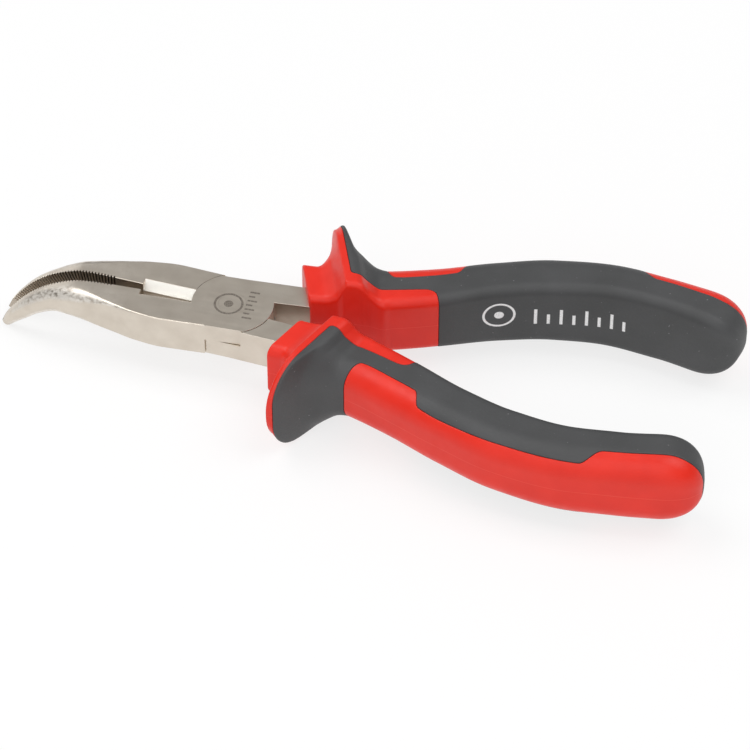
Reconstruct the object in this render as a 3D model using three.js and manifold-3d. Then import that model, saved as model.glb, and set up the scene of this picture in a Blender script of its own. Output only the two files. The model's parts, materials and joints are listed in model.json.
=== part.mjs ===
// Bent-nose pliers, 160 mm, with a side cutter and two-component grips.
//
// Millimetres, +Z up. The pliers lie flat: the pivot axis is vertical, the jaws point along -X and
// bend down at the nose, and the handles run along +X. Each steel lever is one forging (jaw, cheek,
// arm and tang). It is drawn in its closed position around the pivot axis, then both levers are
// turned apart by HALF_OPENING. The origin is the middle of the footprint, on the resting plane.

import * as THREE from 'three';
import { mergeVertices } from 'three/addons/utils/BufferGeometryUtils.js';
import Module from 'manifold-3d';

const wasm = await Module();
wasm.setup();

// ---- driving dimensions ----

const HALF_OPENING = 2.15;         // degrees that each lever is turned away from closed
const FIT_GAP = 0.3;               // clearance between neighbouring pieces

const HEAD_HALF_THICKNESS = 4.25;
const HEAD_HALF_WIDTH = 7.8;
const CHEEK_RADIUS = 8.9;          // the round shoulder that each cheek turns in
const RIVET_RADIUS = 3.0;
const RIVET_GAP = 0.1;             // running clearance of the rivet in both cheeks

const CUTTER_START = -20.3;        // x of the front end of the cutting edges
const CUTTER_END = -8.6;
const CUTTER_MOUTH = 1.6;          // half width of the V at the top face
const CUTTER_LAND_TOP = 2.2;       // z of the top of the cutting land
const CUTTER_LAND_BOTTOM = 1.6;
const CUTTER_RELIEF = 1.1;         // half width of the relief at the bottom face

const TEETH_START = -26.5;
const TEETH_END = -50.6;
const TOOTH_PITCH = 1.2;
const TOOTH_DEPTH = 0.35;

const ARM_INNER = 2.15;            // y of the arm's inner edge beside the cheek
const ARM_INNER_AT_COLLAR = 2.6;
const ARM_OUTER_EDGE = [[8, 8.05], [3, 7.9], [0, HEAD_HALF_WIDTH]];
const ARM_OUTER_AT_COLLAR = 8.25;

const TANG_START = [13, 6.1];      // inside the arm
const TANG_ON_CENTRE = 30;         // from this x on the tang follows the grip's centre line
const TANG_END = 86;
const TANG_HALF_WIDTH = 2.8;
const TANG_TAPER = 0.14;           // half width lost at each point of the tang's path
const TANG_HALF_HEIGHT = 3.4;

const OVERMOULD_DEPTH = 1.5;
const GUARD_START = 20.2;
const GUARD_END = 28.2;
const GRIP_END_START = 98;         // from here the grip rounds off to its end
const GRIP_END = 107.9;
const GRIP_END_POWER = 2.6;

const CORNER_STEPS = 4;            // straight pieces in each rounded corner of a jaw
const GRIP_CORNER_STEPS = 3;
const CUT_OVERRUN = 1;             // how far a cutting solid reaches past what it cuts
const CLEAR_OF_GRIP = 25;          // further from a grip's centre line than any point of the grip

// Jaw stations, from the head to the nose: x, z of the inner top edge, tilt of the section in
// degrees, thickness, width, and radius of the two outer corners.
const JAW_STATIONS = [
  [-1, 4.25, 0, 8.5, 7.8, 0.3],
  [-9, 4.25, 0, 8.5, 8.0, 0.3],
  [-14, 4.25, 0, 8.5, 8.1, 0.3],
  [-20.4, 4.25, 0, 8.5, 7.3, 0.4],
  [-26, 4.3, 0, 8.5, 6.1, 0.9],
  [-30, 4.3, 4, 8.7, 5.6, 2.0],
  [-34, 4.0, 10, 8.4, 5.2, 2.9],
  [-38, 2.7, 20, 7.5, 4.5, 3.0],
  [-42, 0.6, 32, 6.2, 3.6, 2.8],
  [-46, -2.7, 43, 4.9, 3.1, 2.3],
  [-49, -6.2, 51, 4.0, 2.6, 1.9],
  [-51.2, -9.4, 58, 3.0, 1.9, 1.5],
  [-52.2, -11.7, 63, 2.1, 1.1, 1.0],
];

// Grip stations, from the collar to the end: x and y of the section's centre, sweep of the section
// in degrees, reach to the inner and to the outer side, half height, and the corner radii of the
// inner and outer sides. The guard is the tall stretch around x = 23.
const GRIP_STATIONS = [
  [14.2, 7.6, 21, 5.6, 6.3, 7.0, 1.6, 2.4],
  [17.5, 7.6, 21, 5.4, 6.5, 7.1, 1.6, 2.6],
  [20.2, 8.2, 21, 5.6, 8.8, 8.2, 1.6, 3.5],
  [21.5, 9.0, 21, 5.8, 14.5, 10.8, 1.4, 10.6],
  [22.2, 9.2, 21, 5.9, 17.7, 11.8, 1.3, 11.1],
  [24.3, 9.3, 21, 5.9, 17.4, 11.8, 1.3, 7.9],
  [25.5, 9.5, 20.5, 6.1, 11.5, 11.4, 1.6, 7.9],
  [27.1, 9.8, 19.5, 6.3, 8.8, 9.6, 1.9, 5.5],
  [30.2, 9.9, 17, 6.7, 7.0, 7.7, 2.1, 5.0],
  [32, 10.3, 16, 6.4, 6.2, 7.7, 2.2, 4.8],
  [42, 13.5, 17, 6.2, 6.2, 7.6, 2.2, 5.0],
  [54, 18.0, 18, 5.7, 5.9, 8.1, 2.2, 5.2],
  [66, 21.1, 10, 5.6, 6.2, 8.3, 2.2, 5.2],
  [78, 22.2, 0, 5.3, 6.0, 8.7, 2.2, 5.2],
  [90, 20.9, -9, 5.3, 5.6, 9.0, 2.2, 5.2],
  [99, 19.0, -14, 5.6, 5.8, 9.0, 2.4, 5.2],
  [GRIP_END, 16.7, -15, 5.8, 6.1, 8.4, 2.4, 5.2],
];
const COLLAR = GRIP_STATIONS[0];

const RIM_BACK = 23.6;             // x where the guard's bare rim ends and the overmould starts

// The overmould leaves the sleeve bare on two strips, given as x and the distance of the strip's
// edge from the section's centre line, positive towards the outer side.
const OUTER_STRIP_EDGE = [
  [31.6, 6.9], [32.1, 3.4], [33.2, 1.6], [36, 1.4], [46, 1.5], [48.6, 4.3], [54, 4.5], [83, 4.4],
  [87.5, 1.6], [101, 1.4], [105, 1.9], [110, 2.6],
];
const INNER_STRIP_EDGE = [[RIM_BACK, -2.1], [36, -2.4], [39.5, -2.7], [41.2, -3.9], [41.8, -6.9]];

const STEEL = new THREE.MeshStandardMaterial({ color: 0xb9b0a4, roughness: 0.35, metalness: 1 });
const SLEEVE_RED = new THREE.MeshStandardMaterial({ color: 0xe0352a, roughness: 0.45, metalness: 0 });
const OVERMOULD_GREY = new THREE.MeshStandardMaterial({ color: 0x4b4b4c, roughness: 0.7, metalness: 0 });

// ---- curves and lofts ----

const QUARTER = Math.PI / 2;
const degrees = THREE.MathUtils.degToRad;

/** A cubic through the stations that never overshoots between two of them. */
function monotoneCurve(xs, ys) {
  const count = xs.length;
  const rise = xs.slice(1).map((x, i) => (ys[i + 1] - ys[i]) / (x - xs[i]));
  const slope = new Array(count).fill(0);
  slope[0] = rise[0];
  slope[count - 1] = rise[count - 2];
  for (let i = 1; i < count - 1; i += 1) {
    const before = xs[i] - xs[i - 1];
    const after = xs[i + 1] - xs[i];
    if (rise[i - 1] * rise[i] > 0) {
      const a = 2 * after + before;
      const b = after + 2 * before;
      slope[i] = (a + b) / (a / rise[i - 1] + b / rise[i]);
    }
  }
  return (x) => {
    let i = 0;
    while (i < count - 2 && x > xs[i + 1]) {
      i += 1;
    }
    const step = xs[i + 1] - xs[i];
    const t = (x - xs[i]) / step;
    const t2 = t * t;
    const t3 = t2 * t;
    return (2 * t3 - 3 * t2 + 1) * ys[i] + (t3 - 2 * t2 + t) * step * slope[i]
      + (3 * t2 - 2 * t3) * ys[i + 1] + (t3 - t2) * step * slope[i + 1];
  };
}

/** One curve per column of a station table, over its first column times direction. */
function stationCurves(table, direction = 1) {
  const xs = table.map((row) => row[0] * direction);
  return table[0].slice(1).map((_, column) => {
    const curve = monotoneCurve(xs, table.map((row) => row[column + 1]));
    return (x) => curve(x * direction);
  });
}

/** A closed skin over rings of equally many points, with a flat fan on each end. */
function loft(rings) {
  const size = rings[0].length;
  const points = rings.flat();
  const faces = [];
  for (let i = 0; i < rings.length - 1; i += 1) {
    for (let j = 0; j < size; j += 1) {
      const a = i * size + j;
      const b = i * size + ((j + 1) % size);
      faces.push(a, b, b + size, a, b + size, a + size);
    }
  }
  for (const [start, flip] of [[0, true], [(rings.length - 1) * size, false]]) {
    const middle = new THREE.Vector3();
    for (let j = 0; j < size; j += 1) {
      middle.addScaledVector(points[start + j], 1 / size);
    }
    points.push(middle);
    for (let j = 0; j < size; j += 1) {
      const a = start + j;
      const b = start + ((j + 1) % size);
      faces.push(...(flip ? [b, a, points.length - 1] : [a, b, points.length - 1]));
    }
  }
  const geometry = new THREE.BufferGeometry().setFromPoints(points);
  geometry.setIndex(faces);
  return geometry;
}

/** Evenly spaced values from start to end, both included. */
function spread(start, end, steps) {
  return Array.from({ length: steps + 1 }, (_, i) => start + ((end - start) * i) / steps);
}

/** Points of an arc around (u, v), both ends included. */
function arc(u, v, radius, start, end, steps) {
  return spread(start, end, steps)
    .map((angle) => [u + radius * Math.cos(angle), v + radius * Math.sin(angle)]);
}

// ---- solids ----

/** A manifold solid from a closed three.js geometry; inside-out skins are turned over. */
function toSolid(geometry) {
  const source = geometry.index ? geometry : geometry.clone();
  source.deleteAttribute('normal');
  source.deleteAttribute('uv');
  const merged = mergeVertices(source, 1e-5);
  const vertProperties = new Float32Array(merged.attributes.position.array);
  const triVerts = new Uint32Array(merged.index.array);
  if (signedVolume(vertProperties, triVerts) < 0) {
    for (let i = 0; i < triVerts.length; i += 3) {
      [triVerts[i + 1], triVerts[i + 2]] = [triVerts[i + 2], triVerts[i + 1]];
    }
  }
  return new wasm.Manifold(new wasm.Mesh({ numProp: 3, vertProperties, triVerts }));
}

/** Six times the volume that a triangle skin encloses. */
function signedVolume(positions, triangles) {
  const [a, b, c] = [new THREE.Vector3(), new THREE.Vector3(), new THREE.Vector3()];
  let sum = 0;
  for (let i = 0; i < triangles.length; i += 3) {
    a.fromArray(positions, triangles[i] * 3);
    b.fromArray(positions, triangles[i + 1] * 3);
    c.fromArray(positions, triangles[i + 2] * 3);
    sum += a.dot(b.cross(c));
  }
  return sum;
}

/** A named mesh from a manifold solid. */
function toMesh(name, solid, material) {
  const { vertProperties, triVerts } = solid.getMesh();
  const geometry = new THREE.BufferGeometry();
  geometry.setAttribute('position', new THREE.BufferAttribute(new Float32Array(vertProperties), 3));
  geometry.setIndex(new THREE.BufferAttribute(new Uint32Array(triVerts), 1));
  geometry.computeVertexNormals();
  const mesh = new THREE.Mesh(geometry, material);
  mesh.name = name;
  return mesh;
}

/** An outline in plan, [x, y] points, raised from zLow to zHigh. */
function plate(outline, zLow, zHigh) {
  const shape = new THREE.Shape(outline.map(([x, y]) => new THREE.Vector2(x, y)));
  const geometry = new THREE.ExtrudeGeometry(shape, { depth: zHigh - zLow, bevelEnabled: false });
  geometry.translate(0, 0, zLow);
  return toSolid(geometry);
}

/** An upright cylinder on the pivot axis. */
function pivotCylinder(radius, zLow, zHigh, sides = 64) {
  const geometry = new THREE.CylinderGeometry(radius, radius, zHigh - zLow, sides);
  geometry.rotateX(Math.PI / 2);
  geometry.translate(0, 0, (zLow + zHigh) / 2);
  return toSolid(geometry);
}

// ---- steel levers, drawn closed, with the jaw at -Y and the arm at +Y ----

const [jawTop, jawTilt, jawThickness, jawWidth, jawRadius] = stationCurves(JAW_STATIONS, -1);

/** A jaw point: x of its station, then distances out from the inner face, down, and on to the nose. */
function jawPoint(x, out, down, along = 0) {
  const tilt = degrees(jawTilt(x));
  return new THREE.Vector3(
    x + down * Math.sin(tilt) - along * Math.cos(tilt),
    -out,
    jawTop(x) - down * Math.cos(tilt) - along * Math.sin(tilt),
  );
}

/** The jaw's section: flat inner face, rounded outer corners. */
function jawRing(x) {
  const thickness = jawThickness(x);
  const width = jawWidth(x);
  const radius = jawRadius(x);
  const inner = FIT_GAP / 2;
  const outline = [
    [inner, 0],
    ...arc(width - radius, radius, radius, -QUARTER, 0, CORNER_STEPS),
    ...arc(width - radius, thickness - radius, radius, 0, QUARTER, CORNER_STEPS),
    [inner, thickness],
  ];
  return outline.map(([out, down]) => jawPoint(x, out, down));
}

/** Prisms that cut one row of V grooves across the gripping face. */
function toothGrooves() {
  const face = FIT_GAP / 2;
  const halfGroove = TOOTH_PITCH * 0.45;
  const prisms = [];
  let x = TEETH_START;
  while (x > TEETH_END) {
    const groove = (down) => [
      jawPoint(x, 0, down, -halfGroove),
      jawPoint(x, 0, down, halfGroove),
      jawPoint(x, face + TOOTH_DEPTH, down),
    ];
    prisms.push(toSolid(loft([groove(-CUT_OVERRUN), groove(jawThickness(x) + CUT_OVERRUN)])));
    x -= TOOTH_PITCH * Math.cos(degrees(jawTilt(x)));
  }
  return prisms;
}

/** The V mouth over the cutting land and the relief under it, as one prism each. */
function cutterPrisms() {
  const edge = -FIT_GAP / 2;
  const past = HEAD_HALF_THICKNESS + CUT_OVERRUN;
  const slope = (CUTTER_MOUTH + edge) / (HEAD_HALF_THICKNESS - CUTTER_LAND_TOP);
  const mouth = [
    [CUT_OVERRUN, CUTTER_LAND_TOP],
    [edge, CUTTER_LAND_TOP],
    [-CUTTER_MOUTH - slope * CUT_OVERRUN, past],
    [CUT_OVERRUN, past],
  ];
  const relief = [
    [CUT_OVERRUN, CUTTER_LAND_BOTTOM],
    [edge, CUTTER_LAND_BOTTOM],
    [-CUTTER_RELIEF, -past],
    [CUT_OVERRUN, -past],
  ];
  return [mouth, relief].map((section) => {
    const ring = (x) => section.map(([y, z]) => new THREE.Vector3(x, y, z));
    return toSolid(loft([ring(CUTTER_START), ring(CUTTER_END)]));
  });
}

/** Plan of a cheek: the shoulder disc between the flat sides of the head. */
function cheekOutline() {
  const corner = Math.asin(HEAD_HALF_WIDTH / CHEEK_RADIUS);
  return [
    ...arc(0, 0, CHEEK_RADIUS, -corner, corner, 16),
    ...arc(0, 0, CHEEK_RADIUS, Math.PI - corner, Math.PI + corner, 16),
  ];
}

/** The point at height y on the line, in plan, just in front of the collar. */
function armEnd(y) {
  const [collarX, collarY, sweep] = COLLAR;
  return [collarX - (y - collarY) * Math.tan(degrees(sweep)) - FIT_GAP, y];
}

/** Plan of the arm, from inside the cheek to just in front of the collar. */
function armOutline() {
  return [
    [0, ARM_INNER],
    [CHEEK_RADIUS, ARM_INNER],
    armEnd(ARM_INNER_AT_COLLAR),
    armEnd(ARM_OUTER_AT_COLLAR),
    ...ARM_OUTER_EDGE,
  ];
}

/** Plan of the tang inside the grip, grown by a margin; it tapers to its end. */
function tangOutline(margin) {
  const onCentre = (x) => new THREE.Vector2(x, gripCentre(x));
  const start = new THREE.Vector2(...TANG_START);
  const joined = onCentre(TANG_ON_CENTRE);
  const stations = GRIP_STATIONS.map(([x]) => x).filter((x) => x > TANG_ON_CENTRE + 5 && x < TANG_END);
  const path = [start, start.clone().lerp(joined, 0.5), joined, ...[...stations, TANG_END].map(onCentre)];
  const halfWidth = (i) => TANG_HALF_WIDTH - TANG_TAPER * i + margin;
  const side = (sign) => path.map((point, i) => {
    const ahead = path[Math.min(i + 1, path.length - 1)];
    const behind = path[Math.max(i - 1, 0)];
    const run = ahead.clone().sub(behind).normalize();
    const reach = i === path.length - 1 ? margin : 0;
    return [point.x - run.y * sign * halfWidth(i) + run.x * reach,
      point.y + run.x * sign * halfWidth(i) + run.y * reach];
  });
  return [...side(-1), ...side(1).reverse()];
}

/** One steel lever; its cheek is the upper half of the head (cheekSide 1) or the lower (-1). */
function steelLever(cheekSide) {
  const half = HEAD_HALF_THICKNESS;
  const past = half + CUT_OVERRUN;
  const parting = FIT_GAP / 2;
  const slab = (from, to) => (cheekSide > 0 ? [from, to] : [-to, -from]);
  const stations = [JAW_STATIONS[0][0], -9, -14, ...spread(-20.4, JAW_STATIONS.at(-1)[0], 18)];
  const jaw = toSolid(loft(stations.map(jawRing)));
  const cheek = plate(cheekOutline(), ...slab(parting, half));
  const arm = plate(armOutline(), -half, half);
  const tang = plate(tangOutline(0), -TANG_HALF_HEIGHT, TANG_HALF_HEIGHT);
  const room = pivotCylinder(CHEEK_RADIUS + FIT_GAP, ...slab(-past, parting));
  const hole = pivotCylinder(RIVET_RADIUS + RIVET_GAP, -past, past);
  const cuts = [...cutterPrisms(), ...toothGrooves()];
  const blank = jaw.add(arm).add(tang).subtract(room).add(cheek).subtract(hole);
  return cuts.reduce((lever, prism) => lever.subtract(prism), blank);
}

// ---- grips, drawn closed, with the handle at +Y ----

const gripCurves = stationCurves(GRIP_STATIONS);
const [gripCentre, gripSweep] = gripCurves;

/** How much of the section is left at x, as the grip rounds off to its end. */
function endFactor(x, end) {
  const t = Math.max(0, (x - GRIP_END_START) / (end - GRIP_END_START));
  return (1 - t ** GRIP_END_POWER) ** (1 / GRIP_END_POWER);
}

/** A plan position from a station x and a distance n towards the outer side. */
function gripPlan(x, n) {
  const sweep = degrees(gripSweep(x));
  return [x - n * Math.sin(sweep), gripCentre(x) + n * Math.cos(sweep)];
}

/** The grip's section at x, a rounded rectangle drawn inset from the skin. */
function gripRing(x, inset) {
  const size = gripCurves.slice(2).map((curve) => curve(x));
  const factor = endFactor(x, GRIP_END - inset);
  const [inner, outer, high] = size.slice(0, 3).map((reach) => (reach - inset) * factor);
  const [innerRadius, outerRadius] = size.slice(3).map((radius) => Math.max(radius - inset, 0.4) * factor);
  const corners = [
    [outer - outerRadius, high - outerRadius, outerRadius],
    [innerRadius - inner, high - innerRadius, innerRadius],
    [innerRadius - inner, innerRadius - high, innerRadius],
    [outer - outerRadius, outerRadius - high, outerRadius],
  ];
  return corners
    .flatMap((corner, i) => arc(...corner, i * QUARTER, (i + 1) * QUARTER, GRIP_CORNER_STEPS))
    .map(([n, z]) => new THREE.Vector3(...gripPlan(x, n), z));
}

/** The grip's whole form, or the form inset from its skin, from x = start to the rounded end. */
function gripForm(inset, start) {
  const length = GRIP_END - inset - GRIP_END_START;
  const stations = [
    ...spread(start, GUARD_START, 4),
    ...spread(GUARD_START, GUARD_END, 20).slice(1),
    ...spread(GUARD_END + 2, GRIP_END_START, 12),
    ...[0.3, 0.5, 0.66, 0.8, 0.9, 0.96, 0.99].map((t) => GRIP_END_START + length * t),
  ];
  return toSolid(loft(stations.map((x) => gripRing(x, inset))));
}

/** An outline that runs anticlockwise, moved inwards by a margin with mitred corners. */
function insetOutline(outline, margin) {
  const centre = new THREE.Vector2();
  const points = outline.map(([x, y]) => new THREE.Vector2(x, y));
  const inward = (from, to) => to.clone().sub(from).normalize().rotateAround(centre, QUARTER);
  return points.map((point, i) => {
    const before = inward(points.at(i - 1), point);
    const after = inward(point, points[(i + 1) % points.length]);
    const mitre = before.clone().add(after).normalize();
    return point.clone().addScaledVector(mitre, margin / mitre.dot(after)).toArray();
  });
}

/** The overmould's plan, pulled back by a margin; it starts behind the guard's red rim. */
function overmouldOutline(margin) {
  const [stripEnd] = INNER_STRIP_EDGE.at(-1);
  const [stripStart] = OUTER_STRIP_EDGE[0];
  const corners = [
    ...INNER_STRIP_EDGE,
    [stripEnd, -CLEAR_OF_GRIP],
    [GRIP_END + 3, -CLEAR_OF_GRIP],
    ...OUTER_STRIP_EDGE.toReversed(),
    [stripStart, CLEAR_OF_GRIP],
    [RIM_BACK, CLEAR_OF_GRIP],
  ];
  return insetOutline(corners.map(([x, n]) => gripPlan(x, n)), margin);
}

/** The hard sleeve: the whole form less the overmould's bed and the tang's pocket. */
function gripSleeve() {
  const core = gripForm(OVERMOULD_DEPTH, 18);
  const bed = plate(overmouldOutline(0), -CLEAR_OF_GRIP, CLEAR_OF_GRIP).subtract(core);
  const pocketHalfHeight = TANG_HALF_HEIGHT + FIT_GAP;
  const pocket = plate(tangOutline(FIT_GAP), -pocketHalfHeight, pocketHalfHeight);
  return gripForm(0, COLLAR[0]).subtract(bed).subtract(pocket);
}

/** The soft overmould: a skin over the sleeve's bed. */
function gripOvermould() {
  const skin = gripForm(0, 18).subtract(gripForm(OVERMOULD_DEPTH - FIT_GAP, 17));
  return skin.intersect(plate(overmouldOutline(FIT_GAP), -CLEAR_OF_GRIP, CLEAR_OF_GRIP));
}

// ---- assembly ----

/** Mirrors a mesh to the other side of the long axis. */
function mirrored(mesh) {
  mesh.geometry.scale(1, -1, 1);
  const index = mesh.geometry.index.array;
  for (let i = 0; i < index.length; i += 3) {
    [index[i + 1], index[i + 2]] = [index[i + 2], index[i + 1]];
  }
  mesh.geometry.computeVertexNormals();
  return mesh;
}

/** A lever with its grip, turned open about the pivot. Lever a has its handle at +Y. */
function leverGroup(letter) {
  const isA = letter === 'a';
  const meshes = [
    toMesh(`steel_lever_${letter}`, steelLever(isA ? 1 : -1), STEEL),
    toMesh(`grip_sleeve_${letter}`, gripSleeve(), SLEEVE_RED),
    toMesh(`grip_overmould_${letter}`, gripOvermould(), OVERMOULD_GREY),
  ];
  const group = new THREE.Group();
  group.add(...(isA ? meshes : meshes.map(mirrored)));
  group.rotation.z = degrees(isA ? HALF_OPENING : -HALF_OPENING);
  return group;
}

/** The rivet that both levers turn on, ground flush with the head. */
function pivotRivet() {
  const rivet = pivotCylinder(RIVET_RADIUS, -HEAD_HALF_THICKNESS, HEAD_HALF_THICKNESS);
  return toMesh('pivot_rivet', rivet, STEEL);
}

const pliers = new THREE.Group();
pliers.add(leverGroup('a'), leverGroup('b'), pivotRivet());
pliers.updateMatrixWorld(true);

const extent = new THREE.Box3().setFromObject(pliers, true);
const middle = extent.getCenter(new THREE.Vector3());
pliers.position.set(-middle.x, -middle.y, -extent.min.z);

export default pliers;
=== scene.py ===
"""Bent nose pliers: the looks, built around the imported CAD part.

Each lever and its grip is drawn closed, in millimetres from the pivot, with the handle at +Y and the
jaw at -Y. Lever b is the mirror image. place() turns both open and moves them onto the CAD pivot.
"""
import json
import math

import bmesh
import bpy
import numpy as np
from mathutils import Matrix, Vector


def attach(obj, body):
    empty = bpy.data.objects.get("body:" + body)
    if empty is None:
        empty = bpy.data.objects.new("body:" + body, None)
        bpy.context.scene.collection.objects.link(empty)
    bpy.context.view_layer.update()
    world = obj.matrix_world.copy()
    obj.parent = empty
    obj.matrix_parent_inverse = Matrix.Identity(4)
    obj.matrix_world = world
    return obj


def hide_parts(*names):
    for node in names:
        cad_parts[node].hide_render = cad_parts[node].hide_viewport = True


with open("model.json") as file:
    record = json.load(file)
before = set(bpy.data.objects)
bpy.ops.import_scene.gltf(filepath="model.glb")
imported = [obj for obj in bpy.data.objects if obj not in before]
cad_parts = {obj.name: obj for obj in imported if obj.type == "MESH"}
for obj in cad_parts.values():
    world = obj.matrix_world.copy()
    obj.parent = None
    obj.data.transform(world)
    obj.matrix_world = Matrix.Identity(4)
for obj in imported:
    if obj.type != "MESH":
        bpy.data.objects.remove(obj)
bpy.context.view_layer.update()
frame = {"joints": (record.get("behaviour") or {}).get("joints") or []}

MM = 0.001
PIVOT = np.array(frame["joints"][0]["pos_m"]) / MM
HALF_OPENING = math.radians(2.15)
QUARTER = math.pi / 2

# ---- steel dimensions ----
HEAD_HALF_THICKNESS = 4.25
HEAD_HALF_WIDTH = 7.8
CHEEK_RADIUS = 8.9
CHEEK_EDGE = 0.07
RECESS_RADIUS = 9.0
RECESS_SHIFT = 0.07              # towards the handles, so the seam is tight in front of the pivot
RECESS_CHAMFER = 0.02
RIVET_RADIUS = 3.0
RIVET_EDGE = (0.01, 0.02)        # width and height of the broken edge
HAIRLINE = 0.012                 # gap around the rivet, which is ground flush
PARTING = 0.03                   # half the gap between the two cheeks
EDGE_STEEPNESS = 2.0             # height of a plate's broken edge over its width
FACE_GAP = 0.06                  # from each gripping face to the closing plane
FACE_EDGE = 0.1                  # broken edge along the gripping faces
CUT_OVERRUN = 1.0

CUTTER_START = -20.3
CUTTER_END = -8.6
CUTTER_WALL = 0.01               # length of the step at each end of the cutter
CUTTER_PROFILE = [(-4.25, 1.1), (1.6, 0.06), (2.2, 0.06), (4.25, 1.6)]    # z, half width
CUTTER_BEVEL_FOOT = CUTTER_PROFILE[2][0]
CUTTER_MOUTH = CUTTER_PROFILE[3][1]

TEETH_START = -26.5
TEETH_END = -51.0
TOOTH_PITCH = 0.72
TOOTH_DEPTH = 0.42
TOOTH_PROFILE = [(0.18, 0), (0.5, TOOTH_DEPTH), (0.82, 0)]    # share of the pitch, depth

ARM_OUTLINE = [(0, 2.15), (8.9, 2.15), (18.2, 2.6), (15.9, 8.25), (8, 8.05), (3, 7.9), (0, 7.8)]
ARM_INNER_AT_COLLAR = ARM_OUTLINE[2][1]
ARM_EDGE = 0.13
TANG_PATH = [(14.8, 6.5), (21.5, 7.9), (30, 10.1), (42, 13.5), (54, 18), (66, 21.3), (78, 22.2), (86, 21.6)]
TANG_HALF_WIDTH = 2.8
TANG_HALF_HEIGHT = 3.4
TANG_TAPER = 0.14                # half width lost at each point of the path
TANG_EDGE = 0.4
POCKET_GAP = 0.04

# x, z of the inner top edge, tilt in degrees, thickness, width, outer corner radius
JAW_STATIONS = [
    (-1, 4.25, 0, 8.5, 7.8, 0.3),
    (-9, 4.25, 0, 8.5, 8.0, 0.3),
    (-14, 4.25, 0, 8.5, 8.1, 0.3),
    (-20.4, 4.25, 0, 8.5, 7.3, 0.4),
    (-26, 4.3, 0, 8.5, 6.1, 0.9),
    (-30, 4.3, 4, 8.7, 5.6, 2.0),
    (-34, 4.0, 10, 8.4, 5.2, 2.9),
    (-38, 2.7, 20, 7.5, 4.5, 3.0),
    (-42, 0.6, 32, 6.2, 3.6, 2.8),
    (-46, -2.7, 43, 4.9, 3.1, 2.3),
    (-49, -6.2, 51, 4.0, 2.6, 1.9),
    (-51.2, -9.4, 58, 3.0, 1.9, 1.5),
    (-52.2, -11.7, 63, 2.1, 1.1, 1.0),
]
JAW_TIP = JAW_STATIONS[-1][0]
JAW_TIP_TILT = JAW_STATIONS[-1][2]
JAW_ROOT_SECTIONS = (JAW_STATIONS[0][0], -5, CUTTER_END)
TIP_ROUNDING = [(0.93, 0.1), (0.8, 0.18), (0.6, 0.22)]    # share of the last section, reach past it
FACE_POINTS = [0.75, 0.5, 0.312, 0.241, 0.12]             # shares of the thickness, from the top

# ---- grip dimensions ----
GRIP_END = 107.9
GRIP_END_START = 98.0            # from here the grip rounds off to its end
GRIP_END_POWER = 2.6
COLLAR_ROUND = 0.5
# x, y of the centre, sweep in degrees, inner reach, outer reach, half height, inner and outer radius
GRIP_STATIONS = [
    (14.2, 7.6, 21, 5.6, 6.3, 7.0, 1.6, 2.4),
    (17.5, 7.6, 21, 5.4, 6.5, 7.1, 1.6, 2.6),
    (20.2, 8.2, 21, 5.6, 8.8, 8.2, 1.6, 3.5),
    (21.5, 9.0, 21, 5.8, 14.5, 10.8, 1.4, 10.6),
    (22.2, 9.2, 21, 5.9, 17.7, 11.8, 1.3, 11.1),
    (24.3, 9.3, 21, 5.9, 17.4, 11.8, 1.3, 7.9),
    (25.5, 9.5, 20.5, 6.1, 11.5, 11.4, 1.6, 7.9),
    (27.1, 9.8, 19.5, 6.3, 8.8, 9.6, 1.9, 5.5),
    (30.2, 9.9, 17, 6.7, 7.0, 7.7, 2.1, 5.0),
    (32, 10.3, 16, 6.4, 6.2, 7.7, 2.2, 4.8),
    (42, 13.5, 17, 6.2, 6.2, 7.6, 2.2, 5.0),
    (54, 18.0, 18, 5.7, 5.9, 8.1, 2.2, 5.2),
    (66, 21.1, 10, 5.6, 6.2, 8.3, 2.2, 5.2),
    (78, 22.2, 0, 5.3, 6.0, 8.7, 2.2, 5.2),
    (90, 20.9, -9, 5.3, 5.6, 9.0, 2.2, 5.2),
    (99, 19.0, -14, 5.6, 5.8, 9.0, 2.4, 5.2),
    (GRIP_END, 16.7, -15, 5.8, 6.1, 8.4, 2.4, 5.2),
]
GRIP_START = GRIP_STATIONS[0][0]
GRIP_MIN_RADIUS = 0.4
RIM_BACK = 23.6
# Edges of the two strips that the overmould leaves bare: x, distance from the section's centre line
OUTER_STRIP_EDGE = [
    (31.6, 6.9), (32.1, 3.4), (33.2, 1.6), (36, 1.4), (46, 1.5), (48.6, 4.3), (54, 4.5), (83, 4.4),
    (87.5, 1.6), (101, 1.4), (105, 1.9), (110, 2.6),
]
INNER_STRIP_EDGE = [(RIM_BACK, -2.1), (36, -2.4), (39.5, -2.7), (41.2, -3.9), (41.8, -6.9)]
CLEAR_OF_GRIP = 25
CLEAR_OF_END = 3
BED_DEPTH = 1.0
OVERMOULD_THICKNESS = 0.96
GROOVE = 0.03                    # half width of the joint line between sleeve and overmould
SLEEVE_ROUND = 0.08
OVERMOULD_ROUND = 0.15
OVERMOULD_PROUD = 0.05
# Distances from the joint line at which the skin is split, so that its rounded edges have points
SKIN_LEVELS = [-0.3, -0.17, -0.1, -GROOVE, GROOVE, 0.1, 0.17, 0.27, 0.4]
GROOVE_BAND = SKIN_LEVELS.index(GROOVE)

# ---- fineness of the meshes ----
PLATE_ROUND_STEPS = 4
TURNED_SIDES = 160
CHEEK_ARC_STEPS = 56
JAW_CORNER_STEPS = 10
CUTTER_SECTIONS = 14
PLAIN_FACE_SECTIONS = 10
NOSE_SECTIONS = 5
OUTER_CORNER_STEPS = 14
INNER_CORNER_STEPS = 10
GRIP_SIDE_STEPS = (14, 26, 14, 14)    # top, inner, bottom and outer side
COLLAR_ROUND_STEPS = 5
GRIP_END_STEPS = 25
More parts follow.
